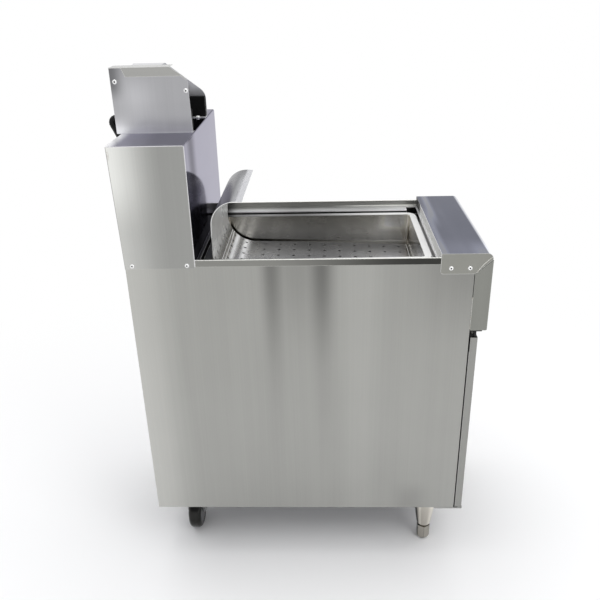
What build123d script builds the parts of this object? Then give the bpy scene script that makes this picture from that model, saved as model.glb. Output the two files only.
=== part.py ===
"""Chip warmer: a floor-standing stainless cabinet with a lift-out holding pan under a heat-lamp head.

Millimetres.  X runs left to right seen from the front, Y from front to back, Z up from the floor.
Depths are counted from the side panels' front edge (Y = 0) and heights from the floor, and each
piece is written with the origin moved to the middle of the footprint.
"""
import os
from math import cos, radians, sin, tan

from build123d import *

# ---------------------------------------------------------------- driving sizes
# cabinet
body_width = 400.0              # over everything, side to side
body_depth = 708.0              # side panel, front edge to rear edge
foot_height = 150.0             # floor to the underside of the cabinet
rim_height = 790.5              # floor to the top of the side rails
sheet = 1.2                     # body sheet
trim_sheet = 1.0                # lighter sheet of rails, caps and laps
fold = 1.5                      # inside radius of the small folds
panel_bend = 1.0                # outside radius along the side panels' edges
edge_return = 20.0              # folded edges of the side panels
bottom_return = 12.0
rail_height = 14.0              # side rails stand this high above the deck
rail_width = 4.2
rail_bend = 0.8
sill_height = 16.0
sill_setback = 4.0
gap = 0.3                       # between pieces that move past each other
running_gap = 0.05              # radial clearance of turning and sliding fits
cut = 1.0                       # how far a cutter runs past what it cuts

# ledge and fascia
ledge_rise = 8.5                # ledge above the side rails
ledge_overhang = 34.0           # in front of the side panels
ledge_depth = 103.0             # front to back
ledge_nose_radius = 12.0
ledge_nose_height = 14.0
ledge_flange_height = 44.0      # the ledge's side flanges, screwed to the panels
ledge_flange_corner = 6.0
fascia_overhang = 35.0
fascia_height = 158.0
fascia_joint = 0.5              # hairline between fascia, ledge and side panel
fascia_rail_flange = 25.0

# door
door_thickness = 16.3
door_rear_gap = 2.4             # between the door and the side panels' front edge
door_bottom_gap = 2.0           # door's lower edge above the cabinet's underside
door_finger_gap = 18.5          # between the door and the fascia
door_side_gap = 2.0             # door edge inside the overall width
pivot_inset = 7.5               # pivot axis inside the overall width
pivot_depth = 6.2               # pivot axis behind the door's front
pivot_pin_radius = 3.5
pivot_end_gap = 2.0             # pin ends short of the bore's far end
collar_width = 2.0
hinge_block_width = 18.0
hinge_block_height = 18.0
pull_return = 9.0               # door's top edge, folded back and down as a finger pull
pull_lip = 10.0
liner_drop = 33.5               # liner's upper edge below the door's
liner_corner = 0.4
bracket_thickness = 3.0
bracket_width = 17.0
bracket_reach = 46.0            # lower bracket, back under the cabinet
bracket_proud = 2.0             # lower bracket, in front of the door
bracket_setback = 8.0           # upper bracket, behind the fascia's front
bracket_corner = 4.0

# holding pan
pan_width = 314.0
pan_depth = 98.0
pan_recess = 5.5                # pan's rim below the deck
pan_front_gap = 9.0             # between the ledge and the pan's rim
pan_rear_gap = 9.0              # between the pan's rim and the tower
pan_flange = 13.5
pan_lip = 10.0                  # the rim's edge turns down to stand in the deck's channel
pan_taper_angle = 1.5
pan_corner = 24.0               # of the rim
pan_well_corner = 8.0
pan_floor_radius = 5.0
pan_sheet = 1.0
deck_gap = 5.5                  # pan rim to deck edge, all round
deck_seat = 5.0                 # the channel's floor reaches this far under the pan's rim
deck_corner = 10.0
deck_notch_width = 30.0         # open front corners of the deck, from the channel outwards
deck_notch_depth = 24.0

# perforated screen
screen_width = 262.0
screen_rise = 31.0              # false bottom above the pan's floor
screen_height = 181.5           # false bottom to the top of the curl
screen_tilt = 2.0               # the whole sheet leans forward, in degrees
screen_front_inset = 18.5       # from the pan's rim
screen_rear_inset = 14.0
screen_front_drop = 12.0        # short flange along the front edge
screen_front_fold = 2.0
screen_corner_cut = 3.0
screen_low_radius = 68.0
screen_high_radius = 50.0
screen_curl = 64.0              # how far the top curls forward
screen_lip_drop = 3.0
screen_runner_inset = 22.0
screen_runner_length = 300.0
hole_diameter = 6.5
hole_start = 23.0               # first row of holes from the screen's front edge
hole_pitch_length = 36.5
hole_pitch_width = 37.0
hole_rows = 7
hole_columns = 10
curve_hole_angles = (18.0, 46.0, 74.0)
curve_hole_reach = 6.0          # of the drills, each side of the curved sheet

# rear tower
tower_depth = 144.0
tower_height = 249.5
tower_lap = 3.5                 # laps over the side panels, below the deck
tower_lean = 6.0                # the rear face leans out this far at the top
tower_bend = 2.5
vent_length = 46.0
vent_height = 5.0
vent_rise = 14.0
vent_pitch = 70.0
vent_rows = 3
vent_columns = 3
tower_vent_rise = 72.0          # lowest vent row above the tower's lower edge
back_vent_drop = 213.0          # lowest vent row below the tower's lower edge

# lamp head
head_setback = 3.0              # behind the tower's front
head_overhang = 15.0            # behind the cabinet
head_height = 128.5             # left cheek, above the tower
left_cheek = -79.5              # outer face of the left cheek
right_cheek = 114.0             # outer face of the right cheek
brow_top_depth = 36.5           # left cheek's cut front corner, behind the head's front
brow_middle_depth = 10.0
brow_middle_drop = 18.0
brow_low_depth = 2.0
brow_low_drop = 27.0
hood_height = 116.5             # right cheek and hood, above the tower
hood_slope_depth = 85.0         # where the hood's top turns down to the front
hood_front_height = 51.5        # where that slope meets the right cheek's front edge
hood_corner_radius = 28.0
hood_lip_depth = 44.0
hood_lip_drop = 12.0
hood_fold = 2.0
left_foot_flange = 16.0
right_foot_flange = 28.0
cap_width = 40.0
cap_drop = 18.0
cap_rear_gap = 24.0
cap_slope = 7.0
cap_front_slope = 4.0
lamp_block_width = 15.0
lamp_block_depth = 74.0
lamp_block_height = 43.3
lamp_block_setback = 1.0
lamp_block_edge = 1.5
heater_radius = 6.5
heater_depth = 57.0             # behind the head's front
heater_height = 27.5            # above the tower
heater_bush_radius = 10.0
heater_bush_length = 9.0
reflector_sheet = 0.8
reflector_low = 6.0             # above the tower
reflector_high = 74.0
reflector_foot = 4.0            # in front of the heater's axis
reflector_lip = 8.0
reflector_depth = 42.0          # behind the heater's axis
reflector_slope_depth = 24.0
reflector_slope_height = 20.0
reflector_low_radius = 20.0
reflector_high_radius = 12.0
guard_radius = 1.6
guard_depth = 39.0
guard_rows = 4
terminal_left = 16.0
terminal_length = 50.0
terminal_depth = 24.0
terminal_height = 20.0
terminal_groove = 2.0
terminal_groove_depth = 6.0

# conduit, glands and leads
conduit_radius = 7.5
conduit_wall = 1.5
conduit_x = -40.0
conduit_rise = 24.5             # upper end above the tower
conduit_fall = 18.0             # lower end below the tower's top
conduit_reach = 25.5            # behind the head, over all
conduit_lean = 24.0             # of the run between its bends, in degrees
conduit_bend = 9.0
gland_radius = 12.0
gland_thread = 9.0
gland_length = 6.0
gland_seat = 0.3                # stands off the leaning rear sheet
inlet_inset = 90.0              # from the left
inlet_rise = 90.0               # above the cabinet's underside
inlet_bore = 5.0
inlet_length = 22.0
lead_radius = 3.5
lead_spread = 12.0              # of the two leads, each side of the wiring box's middle
lead_inset = 16.8               # switch lead from the right panel's inner face
lead_drop = 34.5                # leads below the deck
lead_turn = 50.0
lead_fall_run = 40.0
lead_clearance = 12.0
lead_bend = 18.0
lead_small_bend = 10.0
junction_width = 80.0
junction_depth = 56.0
junction_height = 64.0
junction_inset = 65.0           # from the right
junction_rise = 23.5            # above the deck
junction_corner = 4.0
clip_depths = (150.0, 330.0, 510.0)
clip_length = 10.0
clip_wall = 1.5

# feet and castors
foot_inset = 67.0               # leg axes inside the overall width
leg_depth = 57.0
castor_side_inset = 75.0        # swivel axes inside the overall width
castor_inset = 67.0             # swivel axes from the cabinet's rear
plate_size = 76.0
plate_thickness = 3.0
plate_corner = 8.0
frame_tube_height = 25.0
frame_tube_width = 70.0
frame_tube_wall = 2.0
leg_top_radius = 25.0
leg_low_radius = 16.5
leg_straight = 46.0
leg_shoulder_round = 24.0
leg_cuff_height = 6.0
leg_cuff_width = 1.5
leg_bore_stop = 9.2             # bore ends this far below the frame
insert_height = 41.0
insert_flats = 30.0
insert_round = 12.0
insert_swell = 1.12             # the rounded bottom's radius against the half flats
insert_gap = 6.0                # thread left between insert and sleeve
stem_radius = 10.0
stem_gap = 12.0
castor_trail = 38.0
wheel_radius = 50.0
wheel_width = 32.0
tyre_round = 10.0
hub_radius = 37.0
hub_width = 33.0
hub_recess = 1.0
hub_boss = 7.0
fork_width = 41.0
fork_sheet = 3.0
crown_height = 8.7
crown_plate = 4.0
crown_setback = 5.0
fork_corner = 3.0
fork_eye = 13.0                 # half width of the fork's legs round the axle
fork_eye_rise = 2.0
fork_eye_drop = 11.0
fork_eye_flat = 6.0
axle_radius = 5.0
axle_head_radius = 8.0
axle_head = 4.0
kingpin_radius = 6.0
race_radius = 27.0
race_height = 8.2
race_round = 3.0

# controls and fixings
switch_inset = 72.0             # from the right
switch_rise = 73.0              # above the fascia's lower edge
switch_width = 30.0
switch_height = 22.0
switch_depth = 26.0
switch_slack = 0.2
bezel_border = 3.0
bezel_height = 2.5
rocker_width = 22.0
rocker_height = 14.0
rocker_axle = 1.5
rocker_axle_depth = 1.0         # behind the fascia's front
rocker_proud = 5.0              # its tipped-out end stands this far off the fascia
rocker_dip = 3.2
rocker_low = 3.6
rocker_back = 2.5
rocker_heel = 4.5
well_depth = 12.0
well_slack = 1.5
screw_head_radius = 4.6
screw_head_height = 2.6
screw_shank_radius = 2.0
screw_grip = 3.0
socket_share = 0.42
ledge_screw_depths = (48.6, 10.7)
ledge_screw_drop = 31.0
tower_screw_front = 16.6        # from the tower's front
tower_screw_rear = 15.6         # from the cabinet's rear
tower_screw_rise = 7.0
cheek_screw_depths = (6.9, 146.8)
cheek_screw_heights = (82.5, 102.0)
foot_screw_depth = 18.0
catch_inset = 31.5              # from the right
catch_drop = 48.5               # below the door's upper edge
catch_width = 17.0
catch_height = 26.0
catch_depth = 17.0
catch_lip = 1.5
magnet_inset = 3.0
strike_corner = 2.0

# ---------------------------------------------------------------- places worked out from them
half_width = body_width / 2
panel_outer = half_width - trim_sheet
panel_inner = panel_outer - sheet
deck_top = rim_height - rail_height
frame_bottom = foot_height + sheet
frame_top = frame_bottom + frame_tube_height
floor_top = frame_top + sheet
back_inner = body_depth - 2 * sheet

ledge_top = rim_height + ledge_rise
ledge_front = -ledge_overhang
ledge_rear = ledge_depth - ledge_overhang
ledge_nose_bottom = ledge_top - ledge_nose_height
ledge_flange_bottom = ledge_top - ledge_flange_height
fascia_front = -fascia_overhang
fascia_bottom = ledge_nose_bottom - fascia_height

door_rear = -door_rear_gap
door_front = door_rear - door_thickness
door_bottom = foot_height + door_bottom_gap
door_top = fascia_bottom - door_finger_gap
door_half = half_width - door_side_gap
liner_top = door_top - liner_drop
pivot_x = -(half_width - pivot_inset)
pivot_y = door_front + pivot_depth

tower_front = body_depth - tower_depth
tower_bottom = deck_top - tower_lap
tower_top = tower_bottom + tower_height
tower_rear_high = body_depth + tower_lean

pan_front = ledge_rear + pan_front_gap
pan_rear = tower_front - pan_rear_gap
pan_rim_height = deck_top - pan_recess
pan_floor = pan_rim_height - pan_depth
screen_front = pan_front + screen_front_inset
screen_back = pan_rear - screen_rear_inset
screen_lip = screen_back - screen_curl
screen_floor_height = pan_floor + screen_rise
screen_top = screen_floor_height + screen_height
screen_half = screen_width / 2
runner_x = screen_half - screen_runner_inset

head_front = tower_front + head_setback
head_rear = body_depth + head_overhang
head_top = tower_top + head_height
head_left = left_cheek + sheet
head_right = right_cheek - sheet
brow = (head_front + brow_top_depth, head_top)
brow_middle = (head_front + brow_middle_depth, head_top - brow_middle_drop)
brow_low = (head_front + brow_low_depth, head_top - brow_low_drop)
hood_top = tower_top + hood_height
hood_turn = head_front + hood_slope_depth
hood_low = tower_top + hood_front_height
cap_rear = head_rear - cap_rear_gap
block_left = head_left + lamp_block_width
block_right = head_right - lamp_block_width
heater_y = head_front + heater_depth
heater_z = tower_top + heater_height
foot_screw_x = (right_cheek - right_foot_flange + block_right) / 2
foot_screw_y = head_front + foot_screw_depth

conduit_high = tower_top + conduit_rise
conduit_low = tower_top - conduit_fall
conduit_rear = head_rear + conduit_reach
conduit_turn = conduit_rear - conduit_radius - conduit_bend
conduit_corner = conduit_turn + conduit_bend * tan(radians(45 + conduit_lean / 2))
conduit_foot = conduit_corner - (conduit_high - conduit_low) * tan(radians(conduit_lean))
inlet_x = -(half_width - inlet_inset)
inlet_z = foot_height + inlet_rise
junction_x = half_width - junction_inset
junction_z = deck_top + junction_rise
lead_z = deck_top - lead_drop
lead_x = panel_inner - lead_inset
wire_hole_y = body_depth - junction_depth / 2

foot_x = half_width - foot_inset
castor_x = half_width - castor_side_inset
castor_y = body_depth - castor_inset
plate_bottom = frame_bottom - plate_thickness
leg_bottom = insert_height + insert_gap
leg_bore_top = frame_bottom - leg_bore_stop
stem_top = leg_bore_top - stem_gap
fork_top = plate_bottom - race_height - gap
fork_crown = fork_top - crown_height

switch_x = half_width - switch_inset
switch_z = fascia_bottom + switch_rise
rocker_axle_y = fascia_front + rocker_axle_depth
catch_x = half_width - catch_inset
catch_z = door_top - catch_drop
ledge_screw_places = [(y, ledge_top - ledge_screw_drop) for y in ledge_screw_depths]
tower_screw_places = [(y, tower_bottom + tower_screw_rise)
                      for y in (tower_front + tower_screw_front, body_depth - tower_screw_rear)]
cheek_screw_places = [(head_front + depth, tower_top + height)
                      for depth, height in zip(cheek_screw_depths, cheek_screw_heights)]

middle = (fascia_front - rocker_proud + conduit_rear) / 2


def tower_rear(z):
    """Depth of the tower's leaning rear face at height z."""
    return body_depth + tower_lean * (z - tower_bottom) / tower_height


# ---------------------------------------------------------------- shape helpers
UP = (Align.CENTER, Align.CENTER, Align.MIN)


def block(x0, x1, y0, y1, z0, z1):
    """A box between two opposite corners."""
    return Pos((x0 + x1) / 2, (y0 + y1) / 2, (z0 + z1) / 2) * Box(x1 - x0, y1 - y0, z1 - z0)


def across(outline, x0, x1):
    """A YZ outline, as a list of points or a face, carried from x0 to x1."""
    face = make_face(Polyline(*outline, close=True)) if isinstance(outline, list) else outline
    return Pos(x0, 0, 0) * extrude(Plane.YZ * face, x1 - x0)


def folded(points, thickness, bends):
    """A folded strip: one face follows the points, and it thickens to their left, or right if negative."""
    path = [Vector(*p) for p in points]
    runs = [(b - a).normalized() for a, b in zip(path, path[1:])]
    left = [Vector(-run.Y, run.X) for run in runs]
    turns = [a.X * b.Y - a.Y * b.X for a, b in zip(runs, runs[1:])]
    bends = bends if isinstance(bends, list) else [bends] * len(turns)
    corners = [c + (a + b) * (thickness / (1 + a.dot(b)))
               for c, a, b in zip(path[1:-1], left, left[1:])]
    other = [path[0] + left[0] * thickness, *corners, path[-1] + left[-1] * thickness]
    wall = abs(thickness)
    near = [r + wall if turn * thickness > 0 else r for r, turn in zip(bends, turns)]
    far = [r if turn * thickness > 0 else r + wall for r, turn in zip(bends, turns)]
    one = FilletPolyline(*path, radius=near)
    two = FilletPolyline(*other, radius=far)
    return make_face([*one.edges(), Line(path[-1], other[-1]), *two.edges(), Line(other[0], path[0])])


def rod(start, end, radius):
    """A round bar between two points."""
    a, b = Vector(*start), Vector(*end)
    return Plane(origin=a, z_dir=b - a) * Cylinder(radius, (b - a).length, align=UP)


def ring(start, end, outer, inner):
    """A tube between two points."""
    return rod(start, end, outer) - rod(start, end, inner)


def plate(x0, x1, y0, y1, z0, z1, radius):
    """A flat plate with rounded corners."""
    outline = RectangleRounded(x1 - x0, y1 - y0, radius)
    return Pos((x0 + x1) / 2, (y0 + y1) / 2, z0) * extrude(outline, z1 - z0)


def both_sides(make):
    """The same piece on the left, side -1, and on the right, side +1."""
    return Part() + [make(-1), make(1)]


def on_side(piece, side):
    """A right-hand piece as it is, or mirrored to the left."""
    return piece if side > 0 else mirror(piece, Plane.YZ)


def lead(points, radius, bend):
    """A round lead on straight runs joined by arcs."""
    path = FilletPolyline(*points, radius=bend)
    return sweep(Plane(origin=path @ 0, z_dir=path % 0) * Circle(radius), path=path)


def screw(at, outward):
    """A domed hex-socket screw: its head sits at the point, its shank goes behind it."""
    dome = Cylinder(screw_head_radius, screw_head_height, align=UP)
    dome = fillet(dome.edges().sort_by(Axis.Z)[-1], screw_head_height * 0.8)
    hexagon = RegularPolygon(screw_head_radius * socket_share, 6)
    socket = Pos(0, 0, screw_head_height / 2) * extrude(hexagon, screw_head_height)
    shank = Pos(0, 0, -screw_grip) * Cylinder(screw_shank_radius, screw_grip, align=UP)
    return Plane(origin=at, z_dir=outward) * (dome - socket + shank)


def screw_holes(places, x0, x1):
    """Cutters for screws that go across at (depth, height) places."""
    return [rod((x0 - cut, y, z), (x1 + cut, y, z), screw_shank_radius) for y, z in places]


def vents(y, low):
    """Cutters for rows of round-ended slots through a rear sheet."""
    slot = extrude(Plane.XZ * SlotOverall(vent_length, vent_height), 6 * sheet, both=True)
    first = -(vent_columns - 1) / 2 * vent_pitch
    return [Pos(first + column * vent_pitch, y, low + row * vent_rise) * slot
            for row in range(vent_rows) for column in range(vent_columns)]


# ---------------------------------------------------------------- cabinet
def side_panel(side):
    """Web with front, rear and bottom returns."""
    top = rim_height - trim_sheet
    inner_edge = panel_outer - edge_return
    rear = body_depth - sheet
    panel = block(panel_inner, panel_outer, 0, body_depth, foot_height, top)
    panel += block(inner_edge, panel_outer, 0, sheet, foot_height, fascia_bottom)
    panel += block(inner_edge, panel_outer, rear, body_depth, foot_height, tower_bottom)
    panel += block(panel_outer - bottom_return, panel_outer, 0, body_depth, foot_height, frame_bottom)
    upright = panel.edges().filter_by(Axis.Z).group_by(Axis.X)[-1]
    lower = panel.edges().filter_by(Axis.Y).group_by(Axis.X)[-1].sort_by(Axis.Z)[0]
    panel = fillet([*upright, lower], panel_bend)
    holes = screw_holes(ledge_screw_places + tower_screw_places, panel_inner, panel_outer)
    return on_side(panel - holes, side)


def web_of(side):
    """Room for a side panel's web, cut from the pieces that cross it."""
    return on_side(block(panel_inner, panel_outer, 0, body_depth, foot_height, rim_height - trim_sheet), side)


def back_panel():
    """Rear sheet inside the side panels' returns, with vents and the inlet hole."""
    panel = block(-panel_inner, panel_inner, back_inner, back_inner + sheet, frame_top, deck_top - sheet)
    hole = rod((inlet_x, back_inner - cut, inlet_z), (inlet_x, body_depth + cut, inlet_z), gland_thread)
    return panel - vents(back_inner, tower_bottom - back_vent_drop) - hole


def base_frame():
    """Two closed tubes across the cabinet, over the legs and over the castors."""
    def tube(y):
        half, wall = frame_tube_width / 2, frame_tube_wall
        outer = block(-panel_inner, panel_inner, y - half, y + half, frame_bottom, frame_top)
        inside = (y - half + wall, y + half - wall, frame_bottom + wall, frame_top - wall)
        return outer - block(-half_width, half_width, *inside)
    return Part() + [tube(leg_depth), tube(castor_y)]


def cabinet_floor():
    """Floor sheet on the two tubes, turned up at the front as a sill and at the back."""
    high = floor_top + sill_height
    edge = [(sill_setback, high), (sill_setback, frame_top), (back_inner, frame_top), (back_inner, high)]
    return across(folded(edge, sheet, fold), -panel_inner, panel_inner)


def top_rail(side):
    """Folded rail that straddles the top edge of a side panel."""
    inside = half_width - rail_width
    ends = (ledge_rear, tower_front)
    rail = block(inside, half_width, *ends, deck_top, rim_height)
    rail = fillet(rail.edges().filter_by(Axis.Y).group_by(Axis.Z)[-1], rail_bend)
    rail -= block(inside + trim_sheet, panel_outer, *ends, deck_top - cut, rim_height - trim_sheet)
    return on_side(rail, side)


def pan_outline(grow, z0, z1, corner):
    """The pan rim's rounded outline, grown all round, between two heights."""
    x = pan_width / 2 + grow
    return plate(-x, x, pan_front - grow, pan_rear + grow, z0, z1, corner)


def deck_notch(side):
    """Open front corner of the deck, beside the pan's rounded corner."""
    inner = pan_width / 2 + deck_gap - deck_corner
    front = pan_front - deck_gap
    notch = block(inner, inner + deck_notch_width, front, front + deck_notch_depth,
                  deck_top - pan_lip, deck_top + cut)
    return on_side(notch, side)


def top_deck():
    """Work top between the rails: the pan's opening has a channel that carries the pan's lip."""
    channel = pan_rim_height - pan_lip
    deck = block(-panel_inner, panel_inner, sheet, body_depth - sheet, deck_top - sheet, deck_top)
    deck += pan_outline(deck_gap + sheet, channel - sheet, deck_top, deck_corner + sheet)
    deck -= pan_outline(deck_gap, channel, deck_top + cut, deck_corner)
    deck -= pan_outline(-deck_seat, channel - 2 * sheet, deck_top, pan_corner - deck_seat)
    deck -= [deck_notch(-1), deck_notch(1)]
    slot = SlotOverall(2 * lead_spread + 4 * lead_radius, 4 * lead_radius)
    return deck - Pos(junction_x, wire_hole_y, deck_top) * extrude(slot, 3 * sheet, both=True)


def front_ledge():
    """Shelf above the fascia, with a rounded nose and side flanges screwed to the panels."""
    edge = [(ledge_rear, deck_top), (ledge_rear, ledge_top), (ledge_front, ledge_top),
            (ledge_front, ledge_nose_bottom)]
    ledge = across(folded(edge, sheet, [fold, ledge_nose_radius - sheet]), -half_width, half_width)
    ledge -= [web_of(-1), web_of(1)]
    flange = make_face(Polyline((ledge_rear, ledge_flange_bottom), (ledge_rear, ledge_top),
                                (ledge_front, ledge_top), (ledge_front, ledge_nose_bottom),
                                (0, ledge_flange_bottom), close=True))
    flange = fillet(flange.vertices().sort_by(lambda v: v.Y - v.X)[0], ledge_flange_corner)
    flange = fillet(flange.vertices().sort_by(lambda v: v.Y - v.X)[-1], ledge_nose_radius)
    side = across(flange, panel_outer, half_width)
    side -= screw_holes(ledge_screw_places, panel_outer, half_width)
    return ledge + side + on_side(side, -1)


def front_fascia():
    """Apron below the ledge: front sheet, side flanges and a bottom return."""
    top = ledge_nose_bottom - fascia_joint
    low = ledge_flange_bottom - fascia_joint
    edge = [(fascia_front, top), (fascia_front, fascia_bottom), (-fascia_joint, fascia_bottom)]
    apron = across(folded(edge, sheet, fold), -half_width, half_width)
    cheek = make_face(Polyline((fascia_front, fascia_bottom), (-fascia_joint, fascia_bottom),
                               (-fascia_joint, low), (fascia_front, top), close=True))
    cheek = fillet(cheek.vertices().sort_by(lambda v: v.X + v.Y)[0], fold + sheet)
    flange = across(cheek, half_width - sheet, half_width)
    window = block(switch_x - switch_width / 2, switch_x + switch_width / 2,
                   fascia_front - cut, fascia_front + sheet + cut,
                   switch_z - switch_height / 2, switch_z + switch_height / 2)
    return apron + flange + on_side(flange, -1) - window


def fascia_rail():
    """Angle behind the fascia that ties the side panels and carries the fascia's return."""
    flange = fascia_rail_flange
    edge = [(sheet, fascia_bottom + flange), (sheet, fascia_bottom), (sheet + flange, fascia_bottom)]
    rail = across(folded(edge, sheet, fold), -panel_inner, panel_inner)
    tongue = block(-panel_inner, panel_inner, -fascia_joint, 2 * sheet,
                   fascia_bottom, fascia_bottom + sheet)
    return rail + tongue


def side_screws(places, x):
    """Domed screws at the same places on both sides of the cabinet."""
    return both_sides(lambda side: Part() + [screw((side * x, y, z), (side, 0, 0)) for y, z in places])


# ---------------------------------------------------------------- tower
def tower_side(side):
    """Side sheet of the tower, lapped over the side panel, with a leaning rear edge."""
    low, high = tower_bottom, tower_top - sheet
    front = tower_front + sheet
    edge = make_face(Polyline((front, low), (tower_rear(low) - sheet, low),
                              (tower_rear(high) - sheet, high), (front, high), close=True))
    edge = fillet(edge.vertices().sort_by(lambda v: v.Y - v.X)[-1], tower_bend)
    plain = across(edge, panel_outer, half_width)
    return on_side(plain - screw_holes(tower_screw_places, panel_outer, half_width), side)


def foot_screw_hole():
    """Cutter for the screw through the right cheek's foot and the tower's top."""
    reach = 2 * sheet + cut
    return rod((foot_screw_x, foot_screw_y, tower_top - reach),
               (foot_screw_x, foot_screw_y, tower_top + reach), screw_shank_radius)


def tower_wrap():
    """Polished front and top of the tower, one folded sheet."""
    edge = [(tower_front, deck_top), (tower_front, tower_top), (tower_rear_high, tower_top)]
    wrap = across(folded(edge, -sheet, tower_bend), -half_width, half_width)
    return wrap - [web_of(-1), web_of(1), foot_screw_hole()]


def tower_back():
    """Leaning rear sheet of the tower with vents and the conduit's hole."""
    low, high = tower_bottom, tower_top - sheet
    edge = [(tower_rear(low) - sheet, low), (tower_rear(low), low), (tower_rear(high), high),
            (tower_rear(high) - sheet, high)]
    reach = tower_lean + sheet + cut
    hole = rod((conduit_x, body_depth - reach, conduit_low),
               (conduit_x, tower_rear_high + reach, conduit_low), gland_thread)
    panel = across(edge, -half_width, half_width)
    return panel - [web_of(-1), web_of(1)] - vents(body_depth, tower_bottom + tower_vent_rise) - hole


# ---------------------------------------------------------------- lamp head
def cheek_foot(side_x, flange):
    """A cheek's foot flange on the tower, from the cheek's outer face inwards; flange is signed."""
    return block(min(side_x, side_x + flange), max(side_x, side_x + flange), head_front, head_rear,
                 tower_top, tower_top + sheet)


def left_cheek_plate():
    """Tall plate on the head's left with a cut front corner and a foot flange."""
    top = head_top - trim_sheet
    edge = [(head_front, tower_top), (head_rear, tower_top), (head_rear, top), (brow[0], top),
            brow_middle, brow_low]
    cheek = across(edge, left_cheek, head_left)
    holes = screw_holes(cheek_screw_places, left_cheek, head_left)
    return cheek + cheek_foot(left_cheek, left_foot_flange) - holes


def right_cheek_plate():
    """Lower plate on the head's right with a rounded brow and a wide foot flange."""
    edge = make_face(Polyline((head_front, tower_top), (head_rear, tower_top), (head_rear, hood_top),
                              (hood_turn, hood_top), (head_front, hood_low), close=True))
    brow_corner = edge.vertices().sort_by(lambda v: v.X - v.Y / head_rear)[0]
    edge = fillet(brow_corner, hood_corner_radius)
    cheek = across(edge, head_right, right_cheek)
    return cheek + cheek_foot(right_cheek, -right_foot_flange) - foot_screw_hole()


def cheek_cap():
    """Strip folded over the left cheek's top edge, lapped down its outside."""
    low = head_top - cap_drop
    lap = [(cap_rear, head_top), brow, brow_middle, brow_low, (brow_middle[0] + cap_front_slope, low),
           (cap_rear - cap_slope, low)]
    cap = across(lap, left_cheek - trim_sheet, left_cheek)
    cap += block(left_cheek, left_cheek + cap_width, brow[0], head_rear, head_top - trim_sheet, head_top)
    return cap


def hood():
    """Folded hood between the cheeks: lip, slope, top and back in one sheet."""
    slope = (hood_top - hood_low) / hood_slope_depth
    lip_y = head_front + hood_lip_depth
    lip_z = hood_low + hood_lip_depth * slope
    edge = [(lip_y, lip_z - hood_lip_drop), (lip_y, lip_z), (hood_turn, hood_top), (head_rear, hood_top),
            (head_rear, tower_top)]
    form = across(folded(edge, -sheet, hood_fold), head_left, head_right)
    hole = rod((conduit_x, head_rear - sheet - cut, conduit_high),
               (conduit_x, head_rear + cut, conduit_high), gland_thread)
    feet = [cheek_foot(left_cheek, left_foot_flange), cheek_foot(right_cheek, -right_foot_flange)]
    return form - [hole, *feet]


def lamp_block(x0, x1):
    """Black end block that holds one end of the heater."""
    front = head_front + lamp_block_setback
    foot = tower_top + sheet
    body = block(x0, x1, front, front + lamp_block_depth, foot, foot + lamp_block_height)
    return fillet(body.edges().filter_by(Axis.X), lamp_block_edge)


def reflector():
    """Polished trough behind the heater, between the end blocks."""
    low, high = tower_top + reflector_low, tower_top + reflector_high
    deep = heater_y + reflector_depth
    edge = [(heater_y - reflector_foot, low), (deep, low), (deep, high - reflector_slope_height),
            (deep - reflector_slope_depth, high), (heater_y - reflector_lip, high)]
    bends = [reflector_low_radius, reflector_high_radius, reflector_high_radius]
    return across(folded(edge, reflector_sheet, bends), block_left, block_right)


def heater():
    """Sheathed heating rod across the head."""
    x0, x1 = block_left + heater_bush_length, block_right - heater_bush_length
    return rod((x0, heater_y, heater_z), (x1, heater_y, heater_z), heater_radius)


def heater_bushes():
    """Ceramic bushes at the heater's ends."""
    def bush(x, inwards):
        inner = x + inwards * heater_bush_length
        return rod((x, heater_y, heater_z), (inner, heater_y, heater_z), heater_bush_radius)
    return Part() + [bush(block_left, 1), bush(block_right, -1)]


def heater_guard():
    """Round wires across the front of the heater."""
    rise = lamp_block_height / guard_rows
    y = head_front + guard_depth
    heights = [tower_top + sheet + (row + 0.5) * rise for row in range(guard_rows)]
    return Part() + [rod((block_left, y, z), (block_right, y, z), guard_radius) for z in heights]


def terminal_block():
    """Ceramic terminal block on the tower top inside the head."""
    right, rear = terminal_left + terminal_length, head_rear - sheet
    top = tower_top + terminal_height
    body = block(terminal_left, right, rear - terminal_depth, rear, tower_top, top)

    def groove(share):
        x = terminal_left + terminal_length * share
        return block(x - terminal_groove / 2, x + terminal_groove / 2,
                     rear - terminal_depth - cut, rear + cut, top - terminal_groove_depth, top + cut)
    return body - [groove(1 / 3), groove(2 / 3)]


# ---------------------------------------------------------------- wiring
def gland(x, y, z, bore, length):
    """Cable gland through a rear sheet: flanged nut outside, thread through the hole, nut inside."""
    wall = 2 * sheet
    inner_end, outer_end = y - wall - gland_length, y + length
    body = rod((x, inner_end, z), (x, outer_end, z), gland_thread)
    hexagon = RegularPolygon(gland_radius, 6)
    nut = Plane(origin=(x, y, z), z_dir=(0, 1, 0)) * extrude(hexagon, length)
    lock = Plane(origin=(x, y - wall, z), z_dir=(0, -1, 0)) * extrude(hexagon, gland_length / 2)
    return body + nut + lock - rod((x, inner_end - cut, z), (x, outer_end + cut, z), bore)


def conduit_glands():
    """Glands at both ends of the lamp conduit."""
    low_y = tower_rear(conduit_low) + gland_seat
    bore = conduit_radius - conduit_wall
    upper = gland(conduit_x, head_rear, conduit_high, bore, gland_length)
    lower = gland(conduit_x, low_y, conduit_low, bore, gland_length)
    return Part() + [upper, lower]


def lamp_conduit():
    """Black flexible conduit that loops from the head down into the tower."""
    low_end = tower_rear(conduit_low) + gland_seat + gland_length
    points = [(head_rear + gland_length, conduit_high), (conduit_corner, conduit_high),
              (conduit_foot, conduit_low), (low_end, conduit_low)]
    return lead([(conduit_x, *point) for point in points], conduit_radius, conduit_bend)


def inlet_gland():
    """Gland in the back panel for the supply cord."""
    return gland(inlet_x, back_inner + sheet, inlet_z, inlet_bore, inlet_length)


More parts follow.
